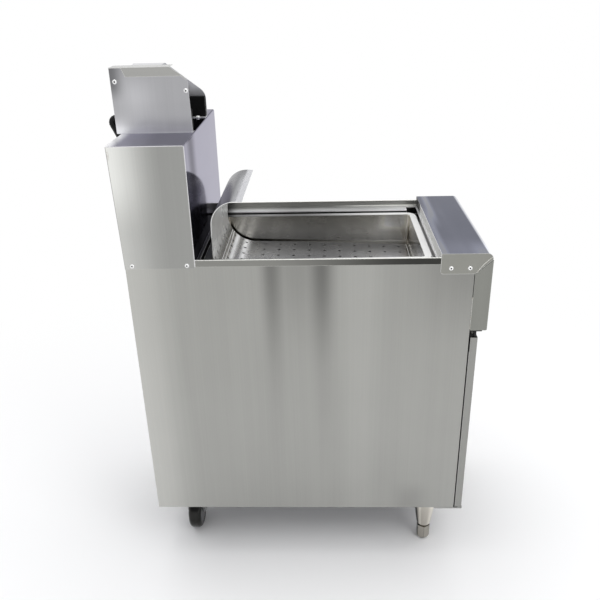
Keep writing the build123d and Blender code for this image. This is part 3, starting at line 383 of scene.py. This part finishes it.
def ledge_finish():
    """The ledge: polished on top with faint wipes and painted reflection, satin behind, brushed on its side
    flanges.
    """
    steel = material("ledge_steel")
    x, y = steel.along("X"), steel.along("Y")
    wipes = steel.noise((3, 26, 26), 3.0)
    cloud = steel.noise((5, 9, 9), 3.0)
    fine = steel.noise(along_grain("X", FINE), 2.0)
    side = abs(steel.facing("X")).above(*TURNED)
    behind = steel.facing("Y").above(*TURNED)
    # painted reflection: lighter streaks along the top's far half, a lighter left end and front-left corner
    far_streak = y.near(-0.303, 0.013) * x.above(-0.06, 0.08) * 0.95
    streak = far_streak + y.near(-0.292, 0.012) * x.below(0.02, 0.14) * 0.7
    corner = x.below(-0.19, -0.11) * y.below(-0.37, -0.34) * 0.5
    level = 1 + swing(cloud, 0.28) + swing(wipes, 0.16) + streak + x.below(-0.19, -0.09) * 0.35 + corner
    top = steel.shaded(flat((0.53, 0.54, 0.60)), level)
    flange = steel.shaded(flat((0.30, 0.30, 0.275)), 1 + swing(fine, 0.12) + swing(cloud, 0.2))
    base = steel.blend(side, top, flange)
    # painted light: the rear face lighter and less metallic
    base = steel.blend(behind, base, flat((0.70, 0.70, 0.68)))
    # painted shadow: the rear face near black at its far end
    base = steel.blend(behind * x.above(0.115, 0.145) * 0.97, base, flat((0.01, 0.01, 0.01)))
    # painted highlight along the edges
    base = steel.blend(steel.edges(FOLD_EDGE) * 0.7, base, flat((0.93, 0.93, 0.93)))
    polish = 0.10 + wipes.above(0.45, 0.75) * 0.06 + side * 0.2 + behind * 0.35 + swing(fine, 0.04)
    return steel.gloss(Base_Color=base, Metallic=1 - behind * 0.7, Roughness=polish,
                       Normal=steel.bump(cloud, 0.0002))


def pan_finish():
    """The pan: satin walls with painted reflection, a rim with a painted highlight, welded corners with heat
    tint, painted shade low down.
    """
    steel = material("pan_steel")
    x, y, z = abs(steel.along("X")), steel.along("Y"), steel.along("Z")
    fine = steel.noise(along_grain("Z", FINE), 2.0)
    cloud = steel.noise((9, 9, 9), 3.0)
    rim = z.above(0.7695, 0.7708)
    # painted reflection: the walls lighter towards the front, brightest high up at the front
    bright_top = y.below(-0.22, -0.17) * z.above(0.725, 0.748)
    level = 0.46 + y.below(-0.24, -0.02) * 0.24 + y.near(0.106, 0.12) * 0.12 + bright_top * 0.8
    level = level * (1 + swing(cloud, 0.25) + swing(fine, 0.04))
    base = steel.shaded(flat((0.84, 0.82, 0.76)), level)
    weld_x, weld_y, tint_reach, seam_reach = 0.141, 0.2238, 0.024, 0.003
    from_middle = abs(y + 0.0378)
    corner = x.near(weld_x, tint_reach) * from_middle.near(weld_y, tint_reach)
    seam = x.near(weld_x, seam_reach) * from_middle.near(weld_y, seam_reach)
    base = steel.blend(corner * (1 - rim) * 0.35, base, flat((0.34, 0.26, 0.15)))
    base = steel.blend(seam * (1 - rim), base, flat((0.80, 0.76, 0.66)))
    # painted shade: the pan below the screen darker
    base = steel.blend(z.below(0.684, 0.697), base, flat((0.17, 0.16, 0.14)))
    # painted highlight on the rim, brightest at the front, where it is less metallic
    rim_highlight = 0.16 + y.below(-0.25, 0.02) * 0.72 + y.near(0.106, 0.08) * 0.08
    base = steel.blend(rim, base, steel.shaded(flat((0.95, 0.95, 0.93)), rim_highlight * (1 + swing(cloud, 0.2))))
    # painted shade: the rear rim and the turned-down lip near black
    painted_shade = rim * y.above(0.160, 0.185) + z.below(0.7680, 0.7700) * x.above(0.1555, 0.1560)
    base = steel.blend(painted_shade, base, flat((0.02, 0.02, 0.018)))
    polish = 0.15 + swing(cloud, 0.08) + rim * 0.24 + z.below(0.680, 0.686) * 0.3
    metal = 1 - rim * 0.75 - z.below(0.702, 0.708) * 0.5
    return steel.gloss(Base_Color=base, Metallic=metal, Roughness=polish, Normal=steel.bump(cloud, 0.0002))


def screen_finish():
    """The perforated screen: satin floor, painted highlights where it curves up, painted shade behind and
    round its holes.
    """
    steel = material("screen_steel")
    x, z, rise, back = steel.along("X"), steel.along("Z"), steel.facing("Z"), steel.facing("Y")
    cloud = steel.noise((11, 11, 11), 3.0)
    wipes = steel.noise((5, 90, 20), 3.0)
    inside = back.below(-0.12, -0.04)
    # painted highlights: bright lines where the screen curves up
    low_gleam = rise.near(0.935, 0.065) + rise.near(0.755, 0.095)
    gleam = (low_gleam + rise.near(0.60, 0.025) + rise.near(0.53, 0.020)) * inside
    # painted shade: the floor darker towards the far side
    far_floor = x.above(0.02, 0.125) * rise.above(0.97, 0.995)
    level = 1 - far_floor * 0.45 + swing(cloud, 0.25) + swing(wipes, 0.10)
    base = steel.shaded(flat((0.84, 0.84, 0.83)), level)
    base = steel.blend(gleam, base, flat((0.98, 0.98, 0.98)))
    # painted shade: the screen's back dark, less so high up
    behind = steel.shaded(flat((0.11, 0.11, 0.12)), 1 + z.above(0.78, 0.87) * 1.3)
    base = steel.blend(back.above(0.08, 0.60), base, behind)
    curl = z.above(0.83, 0.85) * rise.above(0.2, 0.5)
    lip = curl * back.below(-0.06, 0.01)
    # painted shade on the back of the curl; its front lip kept pale and less metallic
    base = steel.blend(curl * back.above(-0.02, 0.26) * 0.85, base, flat((0.15, 0.15, 0.16)))
    base = steel.blend(lip, base, flat((0.80, 0.80, 0.81)))
    border = abs(x).above(0.1280, 0.1295)
    edge = steel.edges(0.0012)
    # painted highlight along the side edges; painted shade round the holes
    base = steel.blend(edge * border * 0.8, base, flat((0.95, 0.95, 0.95)))
    base = steel.blend(edge * (1 - border) * z.below(0.74, 0.78) * 0.85, base, DEEP_BLACK)
    metal = 1 - gleam * 0.9 - inside * rise.below(0.2, 0.5) * 0.5 - lip * 0.5
    return steel.gloss(Base_Color=base, Metallic=metal, Roughness=0.26 + swing(cloud, 0.12),
                       Normal=steel.bump(cloud, 0.0002))


def wrap_finish():
    """The tower's folded sheet: a mirror-like front with painted dark reflection near its edge, and a top
    satin outside the head, with painted light on it.
    """
    steel = material("wrap_steel")
    x, y = steel.along("X"), steel.along("Y")
    cloud = steel.noise((6, 6, 6), 3.0)
    wipes = steel.noise((7, 60, 60), 3.0)
    top = steel.facing("Z").above(0.5, 0.9)
    outside = top * x.below(-0.084, -0.078)
    rear = outside * y.above(0.335, 0.358)
    # painted reflection: dark bands down the front near its edge
    band = (1 - top) * (x.near(-0.133, 0.062) * 0.85 + x.near(-0.190, 0.012) * 0.2)
    level = 1 + swing(cloud, 0.20) + swing(wipes, 0.08) - band
    # painted light: the top darker, lighter outside the head and towards the rear
    level = level * (1 - top * 0.45 + outside * (0.36 + y.above(0.27, 0.335) * 0.5))
    base = steel.shaded(flat((0.485, 0.48, 0.525)), level)
    # painted highlight: the top's rear outside the head, pale and less metallic
    base = steel.blend(rear, base, flat((0.90, 0.90, 0.90)))
    # painted highlight along the folds
    base = steel.blend(steel.edges(FOLD_EDGE) * 0.9, base, flat((0.95, 0.95, 0.95)))
    polish = 0.06 + cloud.above(0.45, 0.75) * 0.06 + outside * 0.24
    return steel.gloss(Base_Color=base, Metallic=1 - rear * 0.7, Roughness=polish,
                       Specular_Tint=flat((0.66, 0.65, 0.72)), Normal=steel.bump(cloud, 0.0003))


def liner_finish():
    """The door's liner: brushed, with painted shade round its rear face: a black, rubber-like band that
    darkens the gap between door and cabinet.
    """
    steel = material("liner_steel")
    x, z = abs(steel.along("X")), steel.along("Z")
    fine = steel.noise(along_grain("Z", FINE), 2.0)
    skin = steel.noise((SKIN, SKIN, SKIN), 2.0)
    ring = steel.node("ShaderNodeClamp", inputs={
        "Value": x.above(0.1745, 0.1750) + z.below(0.1745, 0.1750) + z.above(0.5520, 0.5525)})
    # painted shade: black round the rear face's rim, in the gap between door and cabinet
    gap_shade = ring * steel.facing("Y").above(*TURNED)
    base = steel.shaded(flat((0.40, 0.40, 0.39)), 1 + swing(fine, 0.10))
    base = steel.blend(gap_shade, base, steel.shaded(flat((0.012, 0.012, 0.012)), 1 + swing(skin, 0.4)))
    return steel.gloss(Base_Color=base, Metallic=1 - gap_shade, Roughness=0.32 + gap_shade * 0.3 + swing(fine, 0.08))


def weld_finish():
    """A dressed weld bead, faintly browned by heat."""
    steel = material("weld_steel")
    tint = steel.noise((160, 160, 160), 3.0)
    base = steel.blend(tint.above(0.45, 0.7), flat((0.78, 0.78, 0.74)), flat((0.60, 0.55, 0.45)))
    return steel.gloss(Base_Color=base, Metallic=0.6, Roughness=0.28 + swing(tint, 0.2))


def leg_finish():
    """Polished legs: bright, with painted reflections as dark and light bands up their sides, and darker low
    down.
    """
    steel = material("leg_steel")
    side, low = steel.facing("Y"), steel.along("Z").below(0.041, 0.046)
    fine = steel.noise(along_grain("Z", 60), 2.0)
    level = 0.84 + side.near(0.58, 0.22) * 0.5 - side.above(0.74, 0.88) * 0.82 + side.near(-0.65, 0.5) * 0.5
    level = level * (1 - low * 0.42) * (1 + swing(fine, 0.3))
    base = steel.shaded(flat((0.62, 0.59, 0.53)), level)
    return steel.gloss(Base_Color=base, Metallic=1.0, Roughness=0.16 + swing(fine, 0.1))


def screw_finish(name, axis, socket):
    """Bright domed screws whose socket floors are painted near black as shade; the socket's floor lies at
    this place along the axis.
    """
    steel = material(name)
    cloud = steel.noise((300, 300, 300), 2.0)
    at_floor = abs(steel.along(axis)).near(socket, 0.0005).above(0.2, 0.5)
    hole = abs(steel.facing(axis)).above(0.97, 0.995) * at_floor
    base = steel.blend(hole, flat((0.95, 0.95, 0.94)), flat((0.015, 0.015, 0.015)))
    return steel.gloss(Base_Color=base, Metallic=0.35, Roughness=0.25 + swing(cloud, 0.1))


STEEL = (0.368, 0.368, 0.350)

dress(brushed("panel_steel", STEEL, shade=panel_shade), "left_side_panel", "right_side_panel")
dress(brushed("fascia_steel", (0.262, 0.265, 0.245)), "front_fascia")
dress(brushed("door_steel", (0.31, 0.31, 0.295)), "door_skin")
dress(brushed("rail_steel", (0.28, 0.28, 0.262), grain="Y", edge_light=1.0, shade=rail_shade, dull=rail_dull),
      "left_top_rail", "right_top_rail")
dress(brushed("deck_steel", (0.86, 0.86, 0.85), grain="Y", roughness=0.42, edge_light=1.0, shade=deck_shade,
              tint=deck_painted_shade, dull=deck_dull), "top_deck")
dress(brushed("cap_steel", (0.40, 0.40, 0.385), grain="Y", roughness=0.25, edge_light=0.7, shade=cap_shade),
      "cheek_cap")
dress(brushed("inner_steel", (0.40, 0.40, 0.39), edge_light=0.2),
      "back_panel", "base_frame", "cabinet_floor", "fascia_rail", "tower_back", "bottom_hinge_bracket")
dress(liner_finish(), "door_liner")
dress(brushed("tower_side_steel", (0.335, 0.337, 0.325), shade=tower_shade, tint=rusted),
      "tower_left_side", "tower_right_side")
dress(brushed("cheek_steel", (0.42, 0.42, 0.435), shade=cheek_shade, dull=cheek_dull),
      "left_cheek", "right_cheek")
dress(wrap_finish(), "tower_wrap")
dress(polished("hood_steel", (0.62, 0.62, 0.65), roughness=0.16), "lamp_hood", "lamp_reflector")
dress(ledge_finish(), "front_ledge")
dress(pan_finish(), "holding_pan")
dress(screen_finish(), "perforated_screen")
dress(screw_finish("side_screw_steel", "X", 0.2013), "ledge_screws", "tower_screws")
dress(screw_finish("cheek_screw_steel", "X", 0.0808), "cheek_screws")
dress(screw_finish("foot_screw_steel", "Z", 1.0250), "foot_screw")
dress(polished("guard_steel", (0.93, 0.93, 0.92), roughness=0.25), "heater_guard")
dress(leg_finish(), "leg_sleeves", "left_foot_insert", "right_foot_insert")
dress(brushed("zinc", (0.45, 0.45, 0.45), roughness=0.35),
      "castor_plates", "catch_strike", "left_castor_fork", "right_castor_fork", "left_castor_axle",
      "right_castor_axle")
dress(moulded("castor_tyre", (0.006, 0.006, 0.004), roughness=0.2, specular=0.3, grain=300),
      "left_castor_tyre", "right_castor_tyre")
dress(moulded("castor_hub", (0.16, 0.16, 0.165)), "left_castor_hub", "right_castor_hub")
dress(moulded("block_black", (0.003, 0.003, 0.003), roughness=0.6, specular=0.12),
      "left_lamp_block", "right_lamp_block")
dress(moulded("hinge_black", (0.006, 0.006, 0.006), roughness=0.4, specular=0.3),
      "top_hinge_bracket", "door_hinge_blocks", "magnetic_catch")
wiring_black = moulded("wiring_black", (0.004, 0.004, 0.004), roughness=0.4, specular=0.25)
dress(wiring_black, "conduit_glands", "inlet_gland", "switch_lead", "supply_lead", "lead_clips")
dress(moulded("wiring_grey", (0.30, 0.31, 0.32)), "wiring_box")
dress(moulded("switch_black", (0.010, 0.010, 0.010), roughness=0.3, coat=0.3), "switch_body")
dress(moulded("switch_red", (0.45, 0.02, 0.015), roughness=0.3, coat=0.4), "switch_rocker")
dress(ceramic("ceramic"), "heater_bushes", "terminal_block")
dress(heated("heater_sheath"), "heater_rod")


# ---------------------------------------------------------------- pieces made here
MM = 0.001
ROW_SHIFT = -354.25                 # from the drawing's Y to the frame's, in mm
STEP = 0.5 * MM                     # between the rings of a tube
SHEET_SIDE = 200.0                  # the body's outer faces, from the middle, in mm
BEAD_WAVE, BEAD_RIPPLE = 1.6 * MM, 0.08
CONDUIT_X = -40.0
CONDUIT_RADIUS, RIB_HEIGHT = 7.15, 0.35
RIB_PITCH = 2.6 * MM
CONDUIT_BEND = 9.0 * MM
MARK_X = 128.0
MARK_THICKNESS = 0.5 * MM
RING_RADIUS = 1.5 * MM
RING_STEPS = 40


def drawn(x, y, z):
    """A point of the drawing, in mm, as a place in the frame."""
    return Vector((x, y + ROW_SHIFT, z)) * MM


def stepped(corners, step):
    """The straight runs between these corners, divided into steps about this long."""
    path = [corners[0]]
    for start, end in zip(corners, corners[1:]):
        count = max(1, round((end - start).length / step))
        path += [start.lerp(end, k / count) for k in range(1, count + 1)]
    return path


def rounded(corners, radius, step):
    """The line through these corners with each one rounded to this radius."""
    path = [corners[0]]
    for before, corner, after in zip(corners, corners[1:], corners[2:]):
        back, onward = (before - corner).normalized(), (after - corner).normalized()
        half = back.angle(onward) / 2
        centre = corner + (back + onward).normalized() * (radius / sin(half))
        spoke = corner + back * (radius / tan(half)) - centre
        axis = spoke.cross(corner + onward * (radius / tan(half)) - centre)
        turn = pi - 2 * half
        count = ceil(radius * turn / step)
        path += [centre + Matrix.Rotation(turn * k / count, 3, axis) @ spoke for k in range(count + 1)]
    path.append(corners[-1])
    return path


def tube(name, body, finish, centres, radius_at, square, thinned=1.0, sides=16, closed=False):
    """A tube along a flat line; its radius follows the length along it, thinned in the square direction."""
    form = bmesh.new()
    rings = []
    length = 0.0
    for place, centre in enumerate(centres):
        before = centres[place - 1] if closed or place else centre
        after = centres[(place + 1) % len(centres)] if closed or place < len(centres) - 1 else centre
        if place:
            length += (centre - centres[place - 1]).length
        out = (after - before).normalized().cross(square)
        turns = [tau * k / sides for k in range(sides)]
        spokes = [square * (sin(turn) * thinned) + out * cos(turn) for turn in turns]
        rings.append([form.verts.new(centre + spoke * radius_at(length)) for spoke in spokes])
    following = rings[1:] + rings[:1] if closed else rings[1:]
    for one, other in zip(rings, following):
        for k in range(sides):
            form.faces.new((one[k - 1], one[k], other[k], other[k - 1])).smooth = True
    if not closed:
        form.faces.new(rings[0])
        form.faces.new(rings[-1])
    bmesh.ops.recalc_face_normals(form, faces=form.faces)
    mesh = bpy.data.meshes.new(name)
    form.to_mesh(mesh)
    form.free()
    mesh.materials.append(finish)
    piece = bpy.data.objects.new(name, mesh)
    bpy.context.scene.collection.objects.link(piece)
    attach(piece, body)
    return piece


def weld_beads():
    """The beads along the mitres of the ledge and fascia, and down the fascia's lower corners."""
    bead = weld_finish()
    mitre = [(-3.0, 757.5), (-16.6, 776.6), (-32.8, 791.8)]
    corner = [(0.3, 703.0), (0.4, 630.0)]
    for side, hand in ((-1, "left"), (1, "right")):
        for place, line, thickness in (("mitre", mitre, 0.60), ("corner", corner, 0.45)):
            centres = stepped([drawn(side * SHEET_SIDE, y, z) for y, z in line], STEP)
            tube(f"{hand}_{place}_bead", "cabinet", bead, centres,
                 lambda length, thickness=thickness:
                 (thickness + BEAD_RIPPLE * sin(tau * length / BEAD_WAVE)) * MM,
                 Vector((1, 0, 0)), thinned=0.45, sides=10)


def ribbed_conduit():
    """The black ribbed conduit that loops from the tower to the head."""
    line = [(729.0, 1047.0), (745.9, 1047.0), (726.9, 1004.5), (719.9, 1004.5)]
    corners = [drawn(CONDUIT_X, y, z) for y, z in line]
    centres = stepped(rounded(corners, CONDUIT_BEND, STEP), STEP)
    conduit = tube("ribbed_conduit", "cabinet", wiring_black, centres,
                   lambda length: (CONDUIT_RADIUS + RIB_HEIGHT * sin(tau * length / RIB_PITCH)) * MM,
                   Vector((1, 0, 0)), sides=28)
    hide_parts("lamp_conduit")


def rocker_marks():
    """The raised I and O on the rocker's two faces."""
    white = moulded("mark_white", (0.80, 0.80, 0.78), roughness=0.45)
    upper = [drawn(MARK_X, -39.24, 705.4), drawn(MARK_X, -38.42, 702.2)]
    middle = drawn(MARK_X, -38.05, 696.5)
    tube("rocker_mark_on", "rocker", white, stepped(upper, STEP),
         lambda length: MARK_THICKNESS, Vector((1, 0, 0)), sides=12)
    turns = [tau * k / RING_STEPS for k in range(RING_STEPS)]
    ring = [middle + Vector((cos(turn), 0, sin(turn))) * RING_RADIUS for turn in turns]
    tube("rocker_mark_off", "rocker", white, ring,
         lambda length: MARK_THICKNESS, Vector((0, 1, 0)), sides=12, closed=True)


weld_beads()
ribbed_conduit()
rocker_marks()


# ---------------------------------------------------------------- light and floor
def studio_world():
    """A plain studio: pale walls low down, a dimmer band above them and a bright ceiling."""
    world = bpy.data.worlds.new("studio")
    bpy.context.scene.world = world
    air = Finish(world, "Generated")
    height = air.along("Z")
    wall, band, ceiling = flat((1, 1, 1)), flat((0.29, 0.295, 0.325)), flat((1.5, 1.5, 1.5))
    colour = air.blend(height.above(0.13, 0.29), wall, band)
    colour = air.blend(height.above(0.62, 0.80), colour, ceiling)
    air.output(air.node("ShaderNodeBackground", inputs={"Color": colour, "Strength": 1.0}),
               "ShaderNodeOutputWorld")


def pale_floor(size=14.0, shadow_reach=(0.55, 1.7)):
    """A pale floor that keeps the shadow near the object and runs out to plain white."""
    mesh = bpy.data.meshes.new("studio_floor")
    form = bmesh.new()
    bmesh.ops.create_grid(form, x_segments=1, y_segments=1, size=size / 2)
    form.to_mesh(mesh)
    form.free()
    floor = bpy.data.objects.new("studio_floor", mesh)
    bpy.context.scene.collection.objects.link(floor)
    paint = material("studio_floor")
    distance = paint.node("ShaderNodeVectorMath", {"operation": "LENGTH"}, {0: paint.place}, output="Value")
    looks = [paint.node("ShaderNodeLightPath", output=ray)
             for ray in ("Is Camera Ray", "Is Glossy Ray", "Is Transmission Ray")]
    seen = paint.node("ShaderNodeClamp", inputs={"Value": looks[0] + looks[1] + looks[2]})
    matt = paint.node("ShaderNodeBsdfDiffuse", inputs={"Color": flat((0.93, 0.93, 0.93))})
    white = paint.node("ShaderNodeEmission", inputs={"Color": flat((1, 1, 1)), "Strength": 1.0})
    factor = distance.above(*shadow_reach) * seen
    mixed = paint.node("ShaderNodeMixShader", inputs={0: factor, 1: matt, 2: white})
    mesh.materials.append(paint.output(mixed))


def softbox(name, place, target, size, power):
    """A square area lamp aimed at a point."""
    lamp = bpy.data.lights.new(name, "AREA")
    lamp.size = size
    lamp.energy = power
    holder = bpy.data.objects.new(name, lamp)
    holder.location = place
    holder.rotation_euler = (Vector(target) - Vector(place)).to_track_quat("-Z", "Y").to_euler()
    bpy.context.scene.collection.objects.link(holder)


studio_world()
pale_floor()
softbox("key_softbox", (-1.7, -1.5, 2.4), (0, 0, 0.6), 1.3, 16.0)
softbox("top_softbox", (0.3, 0.2, 2.9), (0, 0, 0.6), 1.6, 14.0)


# ---------------------------------------------------------------- camera
CAMERA_PLACE = (-1.4726, -0.0502, 1.2958)
CAMERA_YAW = radians(2.22)          # from +X towards +Y
CAMERA_PITCH = radians(25.04)       # looking down
CAMERA_ROLL = radians(-1.47)
LENS = 40.9                         # on a sensor 36 mm wide


def place_camera():
    """The camera at the viewing angle."""
    forward = Vector((cos(CAMERA_PITCH) * cos(CAMERA_YAW), cos(CAMERA_PITCH) * sin(CAMERA_YAW),
                      -sin(CAMERA_PITCH)))
    level = forward.cross(Vector((0, 0, 1))).normalized()
    upright = level.cross(forward)
    right = level * cos(CAMERA_ROLL) + upright * sin(CAMERA_ROLL)
    up = upright * cos(CAMERA_ROLL) - level * sin(CAMERA_ROLL)
    lens = bpy.data.cameras.new("camera")
    lens.lens = LENS
    lens.sensor_width = 36.0
    camera = bpy.data.objects.new("camera", lens)
    turned = Matrix((right, up, -forward)).transposed().to_4x4()
    camera.matrix_world = Matrix.Translation(CAMERA_PLACE) @ turned
    bpy.context.scene.collection.objects.link(camera)
    bpy.context.scene.camera = camera


place_camera()
bpy.context.scene.view_settings.view_transform = "Standard"
